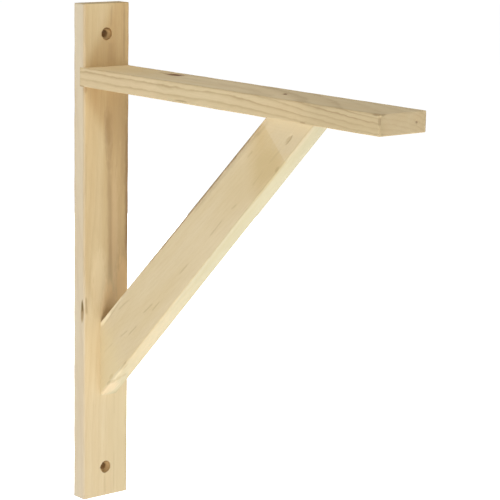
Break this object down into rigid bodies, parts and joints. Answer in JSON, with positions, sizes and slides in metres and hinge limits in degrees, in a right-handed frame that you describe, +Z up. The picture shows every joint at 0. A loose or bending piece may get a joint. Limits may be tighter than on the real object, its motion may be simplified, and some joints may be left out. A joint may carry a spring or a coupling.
{
  "type": "angle bracket",
  "caption": "Wooden wall bracket for a shelf: a drilled back plate, a level arm housed in it and a diagonal brace standing on edge between them.",
  "frame": {"origin": "middle of the back plate's back face, which lies on the wall", "axes": "+X out from the wall along the arm, +Y across the width, +Z up the plate"},
  "size_m": [0.35, 0.043, 0.4],
  "materials": {
    "back_plate": "raw planed pine",
    "shelf_arm": "raw planed pine",
    "brace": "raw planed pine"
  },
  "bodies": {
    "root": {"back_plate": "back_plate", "shelf_arm": "shelf_arm", "brace": "brace"}
  },
  "joints": []
}
